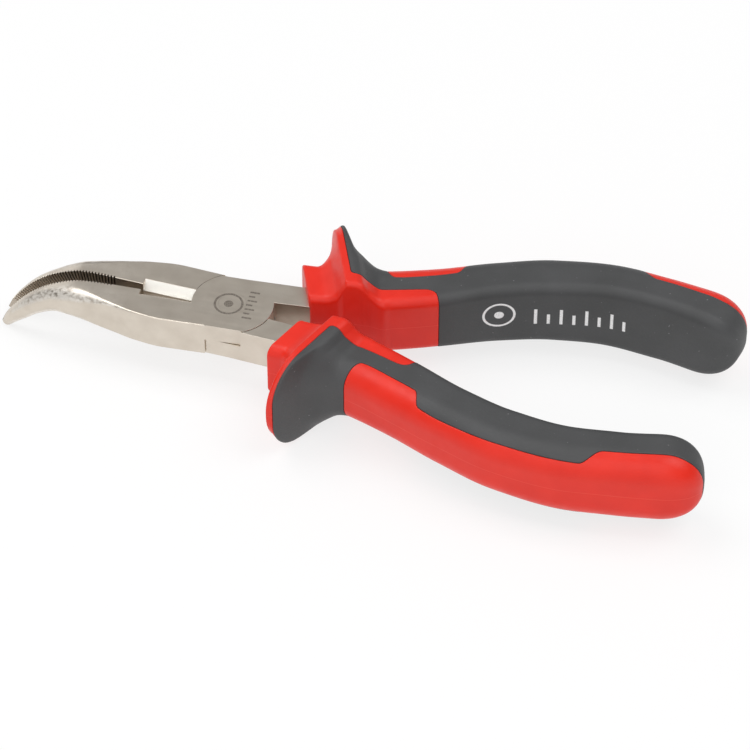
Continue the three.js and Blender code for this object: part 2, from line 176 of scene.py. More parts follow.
# x of the first and last section of each run, and their count: closest round the guard
GRIP_RUNS = [(15.0, 19.9, 16), (20.2, 28.2, 48), (28.6, GRIP_END_START, 172)]
STRIP_EDGE_STEP = 0.25
MITRE_LIMIT = 0.3                # keeps a mitre at a very sharp corner from reaching far out
MERGE_DISTANCE = 0.0008
STEEL_SHARP_ANGLE = 24
GRIP_SHARP_ANGLE = 40

# ---- generic marks: a ring with a dot, and a row of strokes ----
RING_LINE = 0.5
DOT_RADIUS = 1.0
SHORT_STROKE_CUT = 0.35          # share of the height that every second stroke loses
ETCHED_CENTRE = (-0.8, -0.3)
ETCHED_RADIUS = 3.2
ETCHED_STROKES = {"start": -4.3, "pitch": 1.3, "count": 7, "width": 0.48, "low": 2.9, "high": 5.0}
PRINT_CENTRE = (55.6, 0.9)
PRINT_RADIUS = 3.4
PRINT_STROKES = {"start": 61.8, "pitch": 2.7, "count": 8, "width": 0.66, "low": -2.2, "high": 2.1}
PRINT_OUTERMOST = 19.0           # the y beyond which nothing is printed

# ---- colours ----
NICKEL_DARK = (0.615, 0.55, 0.47)
NICKEL_LIGHT = (0.69, 0.625, 0.54)
# painted shade for the gripping faces, the inner flanks of the arms and the tooth grooves
FACE_PAINTED_SHADE = (0.34, 0.28, 0.22)
ARM_PAINTED_SHADE = (0.25, 0.19, 0.145)
TOOTH_PAINTED_SHADE = (0.1, 0.075, 0.056)
# the ground cutting bevels, lightened to near white as a painted highlight
GROUND_BEVEL_HIGHLIGHT = (0.95, 0.93, 0.88)
# speckled wear on the jaw's nose, which also serves as a painted highlight on its rounded faces
WORN_AND_HIGHLIT_STEEL = (0.93, 0.9, 0.85)
ETCHED_STEEL = (0.22, 0.192, 0.165)
RED_DARK = (0.72, 0.019, 0.007)
RED_LIGHT = (0.8, 0.026, 0.011)
PARTING_LINE_RED = (0.95, 0.12, 0.08)
RUBBER_DARK = (0.049, 0.05, 0.051)
RUBBER_LIGHT = (0.063, 0.064, 0.066)
DUST = (0.3, 0.3, 0.31)
PRINT_WHITE = (0.9, 0.9, 0.9)
FLOOR_GREY = (0.22, 0.22, 0.22)
WHITE = (1, 1, 1)

# ---- stage, in metres ----
FLOOR_HALF = 3
FLOOR_GLOW = 0.76
WORLD_STRENGTH = 0.2
LIGHT_TARGET = (0, 0, 0.01)
# name, place, size, power in watts
LIGHTS = [
    ("front_panel", (0.0, -1.3, 0.32), (1.9, 0.5), 2.7),
    ("front_key", (0.0, -1.05, 1.15), (1.5, 1.2), 8.5),
    ("back_panel", (0.0, 1.1, 1.0), (2.4, 1.0), 2.0),
    ("left_panel", (-1.2, 0.8, 0.4), (1.0, 0.5), 1.6),
    ("left_key", (-0.7, 0.1, 1.3), (0.9, 0.9), 8.3),
    ("right_key", (0.7, 0.1, 1.3), (0.9, 0.9), 8.3),
]

# ---- camera, in degrees and millimetres ----
VIEW_AZIMUTH = 15.0              # how far the camera stands to the right of straight in front
VIEW_ELEVATION = 45.55
VIEW_DISTANCE = 839.4
FIELD_WIDTH = 160.77             # width of the view at the pivot's distance
AIM_RIGHT_OF_PIVOT = 30.42
AIM_BELOW_PIVOT = 12.33
SENSOR = 36.0
CLIP_END = 20                    # in metres


# ---- curves and outlines ----

def monotone_curve(xs, ys):
    """A cubic through the stations that never overshoots between two of them."""
    xs = np.array(xs, float)
    ys = np.array(ys, float)
    step = np.diff(xs)
    rise = np.diff(ys) / step
    slope = np.zeros(len(xs))
    slope[0] = rise[0]
    slope[-1] = rise[-1]
    for i in range(1, len(xs) - 1):
        if rise[i - 1] * rise[i] > 0:
            a = 2 * step[i] + step[i - 1]
            b = step[i] + 2 * step[i - 1]
            slope[i] = (a + b) / (a / rise[i - 1] + b / rise[i])

    def curve(x):
        i = np.clip(np.searchsorted(xs, x) - 1, 0, len(step) - 1)
        t = (x - xs[i]) / step[i]
        ends = (1 + 2 * t) * (1 - t) ** 2 * ys[i] + t * t * (3 - 2 * t) * ys[i + 1]
        slopes = t * (1 - t) ** 2 * slope[i] + t * t * (t - 1) * slope[i + 1]
        return ends + slopes * step[i]

    return curve


def station_curves(table, direction=1):
    """One curve per column of a station table, over its first column."""
    rows = np.array(table, float)
    order = np.argsort(rows[:, 0] * direction)
    xs = rows[order, 0] * direction
    curves = [monotone_curve(xs, column[order]) for column in rows.T[1:]]
    return [lambda x, c=c: c(np.asarray(x) * direction) for c in curves]


def smooth_path(points, step):
    """A path through the points with rounded turns, as points about one step apart."""
    points = np.array(points, float)
    lengths = np.concatenate([[0], np.cumsum(np.hypot(*np.diff(points, axis=0).T))])
    at = np.linspace(0, lengths[-1], int(lengths[-1] / step) + 2)
    return np.stack([monotone_curve(lengths, column)(at) for column in points.T], axis=1)


def arc(u, v, radius, start, end, steps):
    angles = np.linspace(start, end, steps + 1)
    return np.stack([u + radius * np.cos(angles), v + radius * np.sin(angles)], axis=1)


def unit(vectors):
    return vectors / np.maximum(np.linalg.norm(vectors, axis=1), 1e-12)[:, None]


def inset_outline(outline, margin):
    """A closed anticlockwise outline moved inwards by a margin, with mitred corners."""
    outline = np.array(outline, float)
    run = unit(np.roll(outline, -1, axis=0) - outline)
    after = np.stack([-run[:, 1], run[:, 0]], axis=1)
    mitre = unit(after + np.roll(after, 1, axis=0))
    reach = np.maximum((mitre * after).sum(axis=1), MITRE_LIMIT)
    return outline + mitre * (margin / reach)[:, None]


def signed_distance(points, outline):
    """Distance of plan points to a closed outline, positive inside it."""
    start = np.array(outline, float)
    end = np.roll(start, -1, axis=0)
    nearest = np.full(len(points), np.inf)
    inside = np.zeros(len(points), bool)
    for a, b in zip(start, end):
        run = b - a
        t = np.clip(((points - a) @ run) / (run @ run), 0, 1)
        nearest = np.minimum(nearest, np.linalg.norm(points - a - t[:, None] * run, axis=1))
        crosses = (a[1] > points[:, 1]) != (b[1] > points[:, 1])
        if crosses.any():
            x = a[0] + (points[:, 1] - a[1]) * run[0] / run[1]
            inside ^= crosses & (points[:, 0] < x)
    return np.where(inside, nearest, -nearest)


# ---- meshes ----

def new_object(name, points, faces):
    mesh = bpy.data.meshes.new(name)
    mesh.from_pydata(np.asarray(points).tolist(), [], [list(f) for f in faces])
    mesh.validate()
    mesh.update()
    piece = bpy.data.objects.new(name, mesh)
    bpy.context.scene.collection.objects.link(piece)
    return piece


def ring_faces(count, size):
    """Faces between a number of rings of equally many points."""
    faces = []
    for i in range(count - 1):
        for j in range(size):
            a = i * size + j
            b = i * size + (j + 1) % size
            faces.append((a, b, b + size, a + size))
    return faces


def loft(name, rings):
    """A closed solid over rings of equally many points, with a flat cap on each end."""
    size = len(rings[0])
    last = (len(rings) - 1) * size
    faces = ring_faces(len(rings), size)
    faces.append(tuple(range(size))[::-1])
    faces.append(tuple(range(last, last + size)))
    piece = new_object(name, np.concatenate(rings), faces)
    face_out(piece)
    return piece


def face_out(piece):
    """Turns the faces of a closed piece outwards."""
    work = bmesh.new()
    work.from_mesh(piece.data)
    bmesh.ops.recalc_face_normals(work, faces=work.faces)
    if work.calc_volume(signed=True) < 0:
        bmesh.ops.reverse_faces(work, faces=work.faces)
    work.to_mesh(piece.data)
    work.free()


def drop_loose_points(piece):
    """Merges points that coincide, drops unused ones, and turns the faces out."""
    work = bmesh.new()
    work.from_mesh(piece.data)
    bmesh.ops.remove_doubles(work, verts=work.verts, dist=MERGE_DISTANCE)
    bmesh.ops.delete(work, geom=[v for v in work.verts if not v.link_faces], context="VERTS")
    work.to_mesh(piece.data)
    work.free()
    face_out(piece)


def plate(name, outline, low, high, radius=0.0):
    """An outline in plan, raised from low to high, with steep rounded edges."""
    bend = np.linspace(0, QUARTER, PLATE_ROUND_STEPS + 1) if radius else [0.0]
    edge = [(radius * (1 - math.sin(t)), EDGE_STEEPNESS * radius * (1 - math.cos(t))) for t in bend]
    levels = [(margin, low + rise) for margin, rise in edge]
    levels += [(margin, high - rise) for margin, rise in edge[::-1]]
    rings = []
    for margin, z in levels:
        plan = inset_outline(outline, margin)
        rings.append(np.column_stack([plan, np.full(len(plan), z)]))
    return loft(name, rings)


def turned(name, profile):
    """A round solid on the pivot axis from a profile of radius and z."""
    rings = []
    for radius, z in profile:
        circle = arc(0, 0, radius, 0, 2 * math.pi, TURNED_SIDES)[:-1]
        rings.append(np.column_stack([circle, np.full(TURNED_SIDES, z)]))
    return loft(name, rings)


def combine(piece, others, operation):
    """Joins the others to the piece, or cuts them from it."""
    for other in others:
        modifier = piece.modifiers.new(operation, "BOOLEAN")
        modifier.solver = "MANIFOLD"
        modifier.operation = operation
        modifier.object = other
        graph = bpy.context.evaluated_depsgraph_get()
        result = bpy.data.meshes.new_from_object(piece.evaluated_get(graph))
        piece.modifiers.clear()
        piece.data = result
        bpy.data.objects.remove(other)
    return piece


def place(piece, lever):
    """Moves a piece from the closed lever's millimetres to its place on the CAD part."""
    side = 1 if lever == "a" else -1
    mirror = Matrix.Diagonal((1, side, 1, 1))
    matrix = Matrix.Translation(Vector(PIVOT)) @ Matrix.Rotation(side * HALF_OPENING, 4, "Z") @ mirror
    piece.data.transform(Matrix.Scale(MM, 4) @ matrix)
    if lever == "b":
        piece.data.flip_normals()
    return piece


def smooth(piece, sharp_angle):
    """Smooth shading, with edges sharper than the angle kept and flat faces kept flat."""
    piece.data.shade_smooth()
    piece.data.set_sharp_from_angle(angle=math.radians(sharp_angle))
    weighted = piece.modifiers.new("weighted", "WEIGHTED_NORMAL")
    weighted.keep_sharp = True
    return piece


# ---- steel ----

jaw_top, jaw_tilt, jaw_thickness, jaw_width, jaw_radius = station_curves(JAW_STATIONS, -1)


def jaw_ring(x, valley=0.0, cutter=False):
    """The jaw's section: outer side with round corners, then the inner face from bottom to top."""
    thickness = float(jaw_thickness(x))
    width = float(jaw_width(x))
    radius = float(jaw_radius(x))
    shares = np.array([1 - FACE_EDGE / thickness, *FACE_POINTS, FACE_EDGE / thickness])
    if cutter:
        heights = HEAD_HALF_THICKNESS - np.concatenate([[1], shares, [0]]) * thickness
        face = np.interp(heights, *zip(*CUTTER_PROFILE))
    else:
        face = np.full(len(shares) + 2, FACE_GAP + valley)
    outline = [
        [[face[-1] + FACE_EDGE, 0]],
        arc(width - radius, radius, radius, -QUARTER, 0, JAW_CORNER_STEPS),
        arc(width - radius, thickness - radius, radius, 0, QUARTER, JAW_CORNER_STEPS),
        [[face[0] + FACE_EDGE, thickness]],
        np.column_stack([face[1:-1], shares * thickness]),
    ]
    out, down = np.concatenate(outline).T
    tilt = math.radians(float(jaw_tilt(x)))
    z = float(jaw_top(x)) - down * math.cos(tilt)
    return np.column_stack([x + down * math.sin(tilt), -out, z])


def jaw_rings():
    cutter = np.linspace(CUTTER_END - CUTTER_WALL, CUTTER_START + CUTTER_WALL, CUTTER_SECTIONS)
    rings = [jaw_ring(x) for x in JAW_ROOT_SECTIONS]
    rings += [jaw_ring(x, cutter=True) for x in cutter]
    rings += [jaw_ring(x) for x in np.linspace(CUTTER_START, TEETH_START, PLAIN_FACE_SECTIONS)]
    x = TEETH_START
    while x > TEETH_END:
        pitch = TOOTH_PITCH * math.cos(math.radians(float(jaw_tilt(x))))
        rings += [jaw_ring(x - pitch * share, valley) for share, valley in TOOTH_PROFILE]
        x -= pitch
    rings += [jaw_ring(x) for x in np.linspace(x, JAW_TIP, NOSE_SECTIONS)[1:]]
    tip = rings[-1]
    middle = tip.mean(axis=0)
    tilt = math.radians(JAW_TIP_TILT)
    ahead = np.array([-math.cos(tilt), 0, -math.sin(tilt)])
    rings += [middle + (tip - middle) * share + ahead * reach for share, reach in TIP_ROUNDING]
    return rings


def cheek_outline():
    corner = math.asin(HEAD_HALF_WIDTH / CHEEK_RADIUS)
    return np.concatenate([arc(0, 0, CHEEK_RADIUS, middle - corner, middle + corner, CHEEK_ARC_STEPS)
                           for middle in (0, math.pi)])


def tang_outline(margin):
    """Plan of the tang inside the grip, grown by a margin."""
    path = np.array(TANG_PATH, float)
    run = unit(np.gradient(path, axis=0))
    across = np.stack([-run[:, 1], run[:, 0]], axis=1)
    half = (TANG_HALF_WIDTH - TANG_TAPER * np.arange(len(path)) + margin)[:, None]
    path[-1] += run[-1] * margin
    return np.concatenate([path - across * half, (path + across * half)[::-1]])


def cheek_room(side):
    """The room that a lever leaves for the other lever's cheek."""
    half = HEAD_HALF_THICKNESS
    flare = RECESS_RADIUS + RECESS_CHAMFER
    room = turned("room", [
        (RECESS_RADIUS, side * PARTING),
        (RECESS_RADIUS, -side * (half - RECESS_CHAMFER)),
        (flare, -side * half),
        (flare, -side * (half + CUT_OVERRUN)),
    ])
    room.data.transform(Matrix.Translation((RECESS_SHIFT, 0, 0)))
    return room


def steel_lever(lever):
    """One forging. Its cheek is the upper half of the head on lever a, and the lower half on b."""
    half = HEAD_HALF_THICKNESS
    past = half + CUT_OVERRUN
    side = 1 if lever == "a" else -1
    low, high = sorted((side * PARTING, side * half))
    cheek = plate("cheek", cheek_outline(), low, high, CHEEK_EDGE)
    arm = plate("arm", ARM_OUTLINE, -half, half, ARM_EDGE)
    tang = plate("tang", tang_outline(0), -TANG_HALF_HEIGHT, TANG_HALF_HEIGHT, TANG_EDGE)
    hole = turned("hole", [(RIVET_RADIUS + HAIRLINE, -past), (RIVET_RADIUS + HAIRLINE, past)])
    piece = loft(f"forged_lever_{lever}", jaw_rings())
    combine(piece, [arm, tang], "UNION")
    combine(piece, [cheek_room(side)], "DIFFERENCE")
    combine(piece, [cheek], "UNION")
    combine(piece, [hole], "DIFFERENCE")
    return smooth(place(piece, lever), STEEL_SHARP_ANGLE)


def rivet():
    half = HEAD_HALF_THICKNESS
    width, height = RIVET_EDGE
    piece = turned("flush_rivet", [
        (RIVET_RADIUS - width, -half), (RIVET_RADIUS, -half + height),
        (RIVET_RADIUS, half - height), (RIVET_RADIUS - width, half),
    ])
    return smooth(place(piece, "a"), STEEL_SHARP_ANGLE)


# ---- grips ----

grip_curves = station_curves(GRIP_STATIONS)
grip_centre, grip_sweep = grip_curves[:2]


def grip_plan(x, n):
    """A plan position from a station x and a distance n towards the outer side."""
    x, n = np.broadcast_arrays(np.asarray(x, float), n)
    sweep = np.radians(grip_sweep(x))
    return np.stack([x - n * np.sin(sweep), grip_centre(x) + n * np.cos(sweep)], axis=-1)


def side_points(start, end, steps):
    """Points strictly between two corners."""
    return np.linspace(start, end, steps + 1)[1:-1]


def grip_ring(x, inset=0.0):
    """The grip's section at x: a rounded rectangle that shrinks to the rounded end."""
    inner, outer, high, inner_radius, outer_radius = (float(c(x)) for c in grip_curves[2:])
    t = max(0.0, (x - GRIP_END_START) / (GRIP_END - GRIP_END_START))
    factor = max(1 - t ** GRIP_END_POWER, 0.0) ** (1 / GRIP_END_POWER)
    inner, outer, high = ((reach - inset) * factor for reach in (inner, outer, high))
    inner_radius, outer_radius = (max(r - inset, GRIP_MIN_RADIUS) * factor
                                  for r in (inner_radius, outer_radius))
    corners = [
        (outer - outer_radius, high - outer_radius, outer_radius, OUTER_CORNER_STEPS),
        (inner_radius - inner, high - inner_radius, inner_radius, INNER_CORNER_STEPS),
        (inner_radius - inner, inner_radius - high, inner_radius, INNER_CORNER_STEPS),
        (outer - outer_radius, outer_radius - high, outer_radius, OUTER_CORNER_STEPS),
    ]
    arcs = [arc(u, v, r, i * QUARTER, (i + 1) * QUARTER, steps)
            for i, (u, v, r, steps) in enumerate(corners)]
    outline = []
    for i, steps in enumerate(GRIP_SIDE_STEPS):
        outline += [arcs[i], side_points(arcs[i][-1], arcs[(i + 1) % 4][0], steps)]
    n, z = np.concatenate(outline).T
    return np.column_stack([grip_plan(x, n), z])


def grip_rings():
    """Rings from the collar's rounded front edge to just short of the end."""
    rings = []
    for t in np.linspace(0, QUARTER, COLLAR_ROUND_STEPS + 1):
        ring = grip_ring(GRIP_START, COLLAR_ROUND * (1 - math.sin(t)))
        ring[:, 0] += COLLAR_ROUND * (1 - math.cos(t))
        rings.append(ring)
    for run in GRIP_RUNS:
        rings += [grip_ring(x) for x in np.linspace(*run)]
    length = GRIP_END - GRIP_END_START
    for t in np.linspace(0, QUARTER, GRIP_END_STEPS + 1)[1:-1]:
        rings.append(grip_ring(GRIP_END_START + length * math.sin(t) ** (2 / GRIP_END_POWER)))
    return rings


def overmould_outline():
    """Plan of the overmould, with smooth edges along the two bare strips."""
    inner = smooth_path(INNER_STRIP_EDGE, STRIP_EDGE_STEP)
    outer = smooth_path(OUTER_STRIP_EDGE, STRIP_EDGE_STEP)[::-1]
    corners = np.concatenate([
        inner,
        [[inner[-1][0], -CLEAR_OF_GRIP], [GRIP_END + CLEAR_OF_END, -CLEAR_OF_GRIP]],
        outer,
        [[outer[-1][0], CLEAR_OF_GRIP], [RIM_BACK, CLEAR_OF_GRIP]],
    ])
    return grip_plan(corners[:, 0], corners[:, 1])


def cut_in_bands(points, faces, field, levels):
    """Splits the faces along the levels of a field that is given at the points.

    Returns the points and field with the new points added, and (face, band) pairs, where band k lies
    between levels[k - 1] and levels[k]."""
    points = [tuple(p) for p in points]
    field = list(field)
    made = {}

    def crossing(a, b, level):
        key = (min(a, b), max(a, b), level)
        if key not in made:
            t = (level - field[a]) / (field[b] - field[a])
            points.append(tuple(p + (q - p) * t for p, q in zip(points[a], points[b])))
            field.append(level)
            made[key] = len(points) - 1
        return made[key]

    def clip(face, level, above):
        kept = []
        for k, a in enumerate(face):
            b = face[(k + 1) % len(face)]
            if (field[a] >= level) if above else (field[a] <= level):
                kept.append(a)
            if (field[a] - level) * (field[b] - level) < 0:
                kept.append(crossing(a, b, level))
        return kept

    pieces = []
    for face in faces:
        values = [field[v] for v in face]
        low, high = min(values), max(values)
        rest = list(face)
        for band, level in enumerate(levels):
            if level <= low:
                continue
            if level >= high:
                pieces.append((tuple(rest), band))
                break
            below = clip(rest, level, False)
            if len(below) > 2:
                pieces.append((tuple(below), band))
            rest = clip(rest, level, True)
            if len(rest) < 3:
                break
        else:
            pieces.append((tuple(rest), len(levels)))
    return np.array(points), np.array(field), pieces


def point_normals(points, faces):
    """Outward normals at the points, weighted by face area."""
    normals = np.zeros((len(points), 3))
    for face in faces:
        corners = points[list(face)]
        total = np.zeros(3)
        for k in range(1, len(face) - 1):
            total += np.cross(corners[k] - corners[0], corners[k + 1] - corners[0])
        normals[list(face)] += total
    return unit(normals)


def edge_drop(distance, radius):
    """How far a rounded edge lies below the skin, at a distance from the edge."""
    reach = np.clip(radius - distance, 0, radius)
    return radius - np.sqrt(np.maximum(radius * radius - reach * reach, 0))


def walls_below(faces, offset):
    """Quads from the open edges of a patch to the same edges of its copy, offset points further on."""
    edges = {}
    for face in faces:
        for a, b in zip(face, face[1:] + face[:1]):
            edges[(a, b)] = True
    return [(b, a, a + offset, b + offset) for a, b in edges if (b, a) not in edges]


def shifted(faces, offset):
    return [tuple(v + offset for v in face) for face in faces]


def grip_skin():
    """The grip's outer skin, split along the joint line between sleeve and overmould.

    Returns the points, their outward normals, how far inside the overmould's outline they lie, and
    (face, band) pairs."""
    rings = grip_rings()
    size = len(rings[0])
    points = np.concatenate(rings + [rings[-1].mean(axis=0)[None]])
    last = (len(rings) - 1) * size
    pole = len(points) - 1
    faces = ring_faces(len(rings), size)
    faces += [(last + j, last + (j + 1) % size, pole) for j in range(size)]
    field = signed_distance(points[:, :2], overmould_outline())
    both = np.concatenate([points, point_normals(points, faces)], axis=1)
    both, field, pieces = cut_in_bands(both, faces, field, SKIN_LEVELS)
    return both[:, :3], unit(both[:, 3:]), field, pieces


def hard_sleeve(lever, skin):
    """The red sleeve: its bare skin, the bed sunk below the rest, and the step between them."""
    points, normals, field, pieces = skin
    bare = [face for face, band in pieces if band < GROOVE_BAND]
    bed = [face for face, band in pieces if band >= GROOVE_BAND]
    lowered = points - normals * edge_drop(-GROOVE - field, SLEEVE_ROUND)[:, None]
    sunk = points - normals * BED_DEPTH
    front = len(grip_ring(GRIP_START))
    step = [wall for wall in walls_below(bare, len(points)) if wall[0] >= front or wall[1] >= front]
    cap = tuple(range(front))[::-1]
    sleeve = new_object(f"hard_sleeve_{lever}", np.concatenate([lowered, sunk]),
                        bare + shifted(bed, len(points)) + step + [cap])
    drop_loose_points(sleeve)
    high = TANG_HALF_HEIGHT + POCKET_GAP
    pocket = plate("pocket", tang_outline(POCKET_GAP), -high, high)
    high = HEAD_HALF_THICKNESS + POCKET_GAP
    mouth = plate("mouth", inset_outline(ARM_OUTLINE, -POCKET_GAP), -high, high)
    combine(sleeve, [pocket, mouth], "DIFFERENCE")
    return smooth(place(sleeve, lever), GRIP_SHARP_ANGLE)


def soft_overmould(lever, skin):
    """The grey overmould: its skin, the same faces turned over below it, and the walls between."""
    points, normals, field, pieces = skin
    covered = [face for face, band in pieces if band > GROOVE_BAND]
    rise = OVERMOULD_PROUD - edge_drop(field - GROOVE, OVERMOULD_ROUND)
    raised = points + normals * rise[:, None]
    under = points - normals * OVERMOULD_THICKNESS
    turned_over = [face[::-1] for face in shifted(covered, len(points))]
    overmould = new_object(f"soft_overmould_{lever}", np.concatenate([raised, under]),
                           covered + turned_over + walls_below(covered, len(points)))
    drop_loose_points(overmould)
    return smooth(place(overmould, lever), GRIP_SHARP_ANGLE)


def show(piece, material, body, node):
    piece.data.materials.clear()
    piece.data.materials.append(material)
    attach(piece, body)
    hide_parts(node)


# ---- materials ----

class Nodes:
    """Short hand for making a material's node tree."""

    def __init__(self, name):
        self.material = bpy.data.materials.new(name)
        self.material.use_nodes = True
        self.tree = self.material.node_tree
        self.tree.nodes.clear()
        output = self.add("ShaderNodeOutputMaterial")
        self.shader = self.add("ShaderNodeBsdfPrincipled")
        self.link(self.shader.outputs[0], output.inputs[0])
        self.position = self.add("ShaderNodeTexCoord").outputs["Object"]

    def add(self, kind, **settings):
        node = self.tree.nodes.new(kind)
        for key, value in settings.items():
            if key in node.inputs:
                node.inputs[key].default_value = value
            else:
                setattr(node, key, value)
        return node

    def link(self, source, target):
        self.tree.links.new(source, target)

    def set(self, name, value):
        """Sets a socket of the shader to a number or a colour, or links an output to it."""
        socket = self.shader.inputs[name]
        if isinstance(value, bpy.types.NodeSocket):
            self.link(value, socket)
        else:
            socket.default_value = (*value, 1) if isinstance(value, tuple) else value

    def noise(self, scale, detail, stretch=(1, 1, 1)):
        mapping = self.add("ShaderNodeMapping", Scale=stretch)
        self.link(self.position, mapping.inputs["Vector"])
        node = self.add("ShaderNodeTexNoise", Scale=scale, Detail=detail)
        self.link(mapping.outputs[0], node.inputs["Vector"])
        return node.outputs["Fac"]

    def ramp(self, source, low, high, start, end):
        """Maps a source from start..end to low..high."""
        node = self.add("ShaderNodeMapRange")
        node.inputs["From Min"].default_value = start
        node.inputs["From Max"].default_value = end
        node.inputs["To Min"].default_value = low
        node.inputs["To Max"].default_value = high
        self.link(source, node.inputs["Value"])
        return node.outputs["Result"]

    def math(self, operation, *values):
        node = self.add("ShaderNodeMath", operation=operation)
        for socket, value in zip(node.inputs, values):
            if isinstance(value, (int, float)):
                socket.default_value = value
            else:
                self.link(value, socket)
        return node.outputs["Value"]

    def all_of(self, *masks):
        """Where all the masks are."""
        result = masks[0]
        for mask in masks[1:]:
            result = self.math("MULTIPLY", result, mask)
        return result

    def any_of(self, *masks):
        """Where at least one of the masks is."""
        result = masks[0]
        for mask in masks[1:]:
            result = self.math("MAXIMUM", result, mask)
        return result

    def above(self, source, limit, blur=0.04):
        return self.ramp(source, 0, 1, limit - blur, limit + blur)

    def below(self, source, limit, blur=0.04):
        return self.ramp(source, 1, 0, limit - blur, limit + blur)

    def within(self, source, low, high, blur=0.04):
        return self.all_of(self.above(source, low, blur), self.below(source, high, blur))

    def lever_place(self, lever):
        """x, y and z in millimetres on the closed lever, with y positive on the handle's side."""
        side = 1 if lever == "a" else -1
        mapping = self.add("ShaderNodeMapping", vector_type="TEXTURE")
        mapping.inputs["Location"].default_value = PIVOT * MM
        mapping.inputs["Rotation"].default_value = (0, 0, side * HALF_OPENING)
        mapping.inputs["Scale"].default_value = (MM, side * MM, MM)
        self.link(self.position, mapping.inputs["Vector"])
        split = self.add("ShaderNodeSeparateXYZ")
        self.link(mapping.outputs[0], split.inputs[0])
        return split.outputs[0], split.outputs[1], split.outputs[2]

    def levelness(self):
        """How far a face is turned up or down, from 0 on an upright wall to 1 on a level face."""
        split = self.add("ShaderNodeSeparateXYZ")
        self.link(self.add("ShaderNodeNewGeometry").outputs["Normal"], split.inputs[0])
        return self.math("ABSOLUTE", split.outputs[2])

    def disc(self, u, v, centre, radius):
        """The mask of a round spot in two coordinates."""
        across = self.math("SUBTRACT", u, centre[0])
        along = self.math("SUBTRACT", v, centre[1])
        reach = self.math("SQRT", self.math("ADD", self.math("MULTIPLY", across, across),
                                            self.math("MULTIPLY", along, along)))
        return self.below(reach, radius)

    def dotted_ring(self, u, v, centre, radius):
        hole = self.disc(u, v, centre, radius - RING_LINE)
        ring = self.all_of(self.disc(u, v, centre, radius), self.math("SUBTRACT", 1.0, hole))
        return self.any_of(ring, self.disc(u, v, centre, DOT_RADIUS))

    def strokes(self, u, v, start, pitch, count, width, low, high):
        """A row of upright strokes, every second one shorter."""
        along = self.math("DIVIDE", self.math("SUBTRACT", u, start), pitch)
        near = self.math("ABSOLUTE", self.math("SUBTRACT", self.math("FRACT", along), 0.5))
        stroke = self.below(near, width / pitch / 2, 0.02)
        row = self.within(along, 0, count, 0.01)
        odd = self.math("GREATER_THAN", self.math("FRACT", self.math("MULTIPLY", along, 0.5)), 0.5)
        cut = self.math("MULTIPLY", odd, (high - low) * SHORT_STROKE_CUT)
        under = self.below(self.math("SUBTRACT", v, self.math("SUBTRACT", high, cut)), 0)
        return self.all_of(stroke, row, self.above(v, low), under)

    def mix(self, factor, first, second):
        """The first colour or source, turned into the second colour by a factor."""
        node = self.add("ShaderNodeMix", data_type="RGBA")
        self.link(factor, node.inputs["Factor"])
        if isinstance(first, tuple):
            node.inputs["A"].default_value = (*first, 1)
        else:
            self.link(first, node.inputs["A"])
        node.inputs["B"].default_value = (*second, 1)
        return node.outputs["Result"]

    def bump(self, height, strength, distance, before=None):
        node = self.add("ShaderNodeBump", Strength=strength, Distance=distance)
        self.link(height, node.inputs["Height"])
        if before is not None:
            self.link(before, node.inputs["Normal"])
        return node.outputs["Normal"]


def painted_shade_steel(n, x, y, level, depth, cloud, colour):
    """Paints shade on the gripping faces, the tooth grooves and the inner flanks of the arms, where they lie
    between the jaws and between the arms.
    """
    wall = n.below(level, 0.45, 0.12)
    grip_face = n.all_of(wall, n.below(x, CUTTER_END, 0.1), n.below(depth, FACE_GAP + TOOTH_DEPTH + 0.12))
    groove = n.all_of(grip_face, n.ramp(depth, 0, 1, FACE_GAP + 0.04, FACE_GAP + 0.75 * TOOTH_DEPTH),
                      n.below(x, TEETH_START + 0.1))
    arm_flank = n.all_of(wall, n.above(x, 8.6, 0.3), n.within(y, 0.5, ARM_INNER_AT_COLLAR + 0.3))
    # painted shade: the gripping faces, the arms' inner flanks and the tooth grooves are darkened
    colour = n.mix(n.all_of(grip_face, n.ramp(cloud, 0.35, 0.6, 0.3, 0.7)), colour, FACE_PAINTED_SHADE)
    colour = n.mix(n.all_of(arm_flank, n.ramp(cloud, 0.55, 0.8, 0.3, 0.7)), colour, ARM_PAINTED_SHADE)
    return n.mix(groove, colour, TOOTH_PAINTED_SHADE)


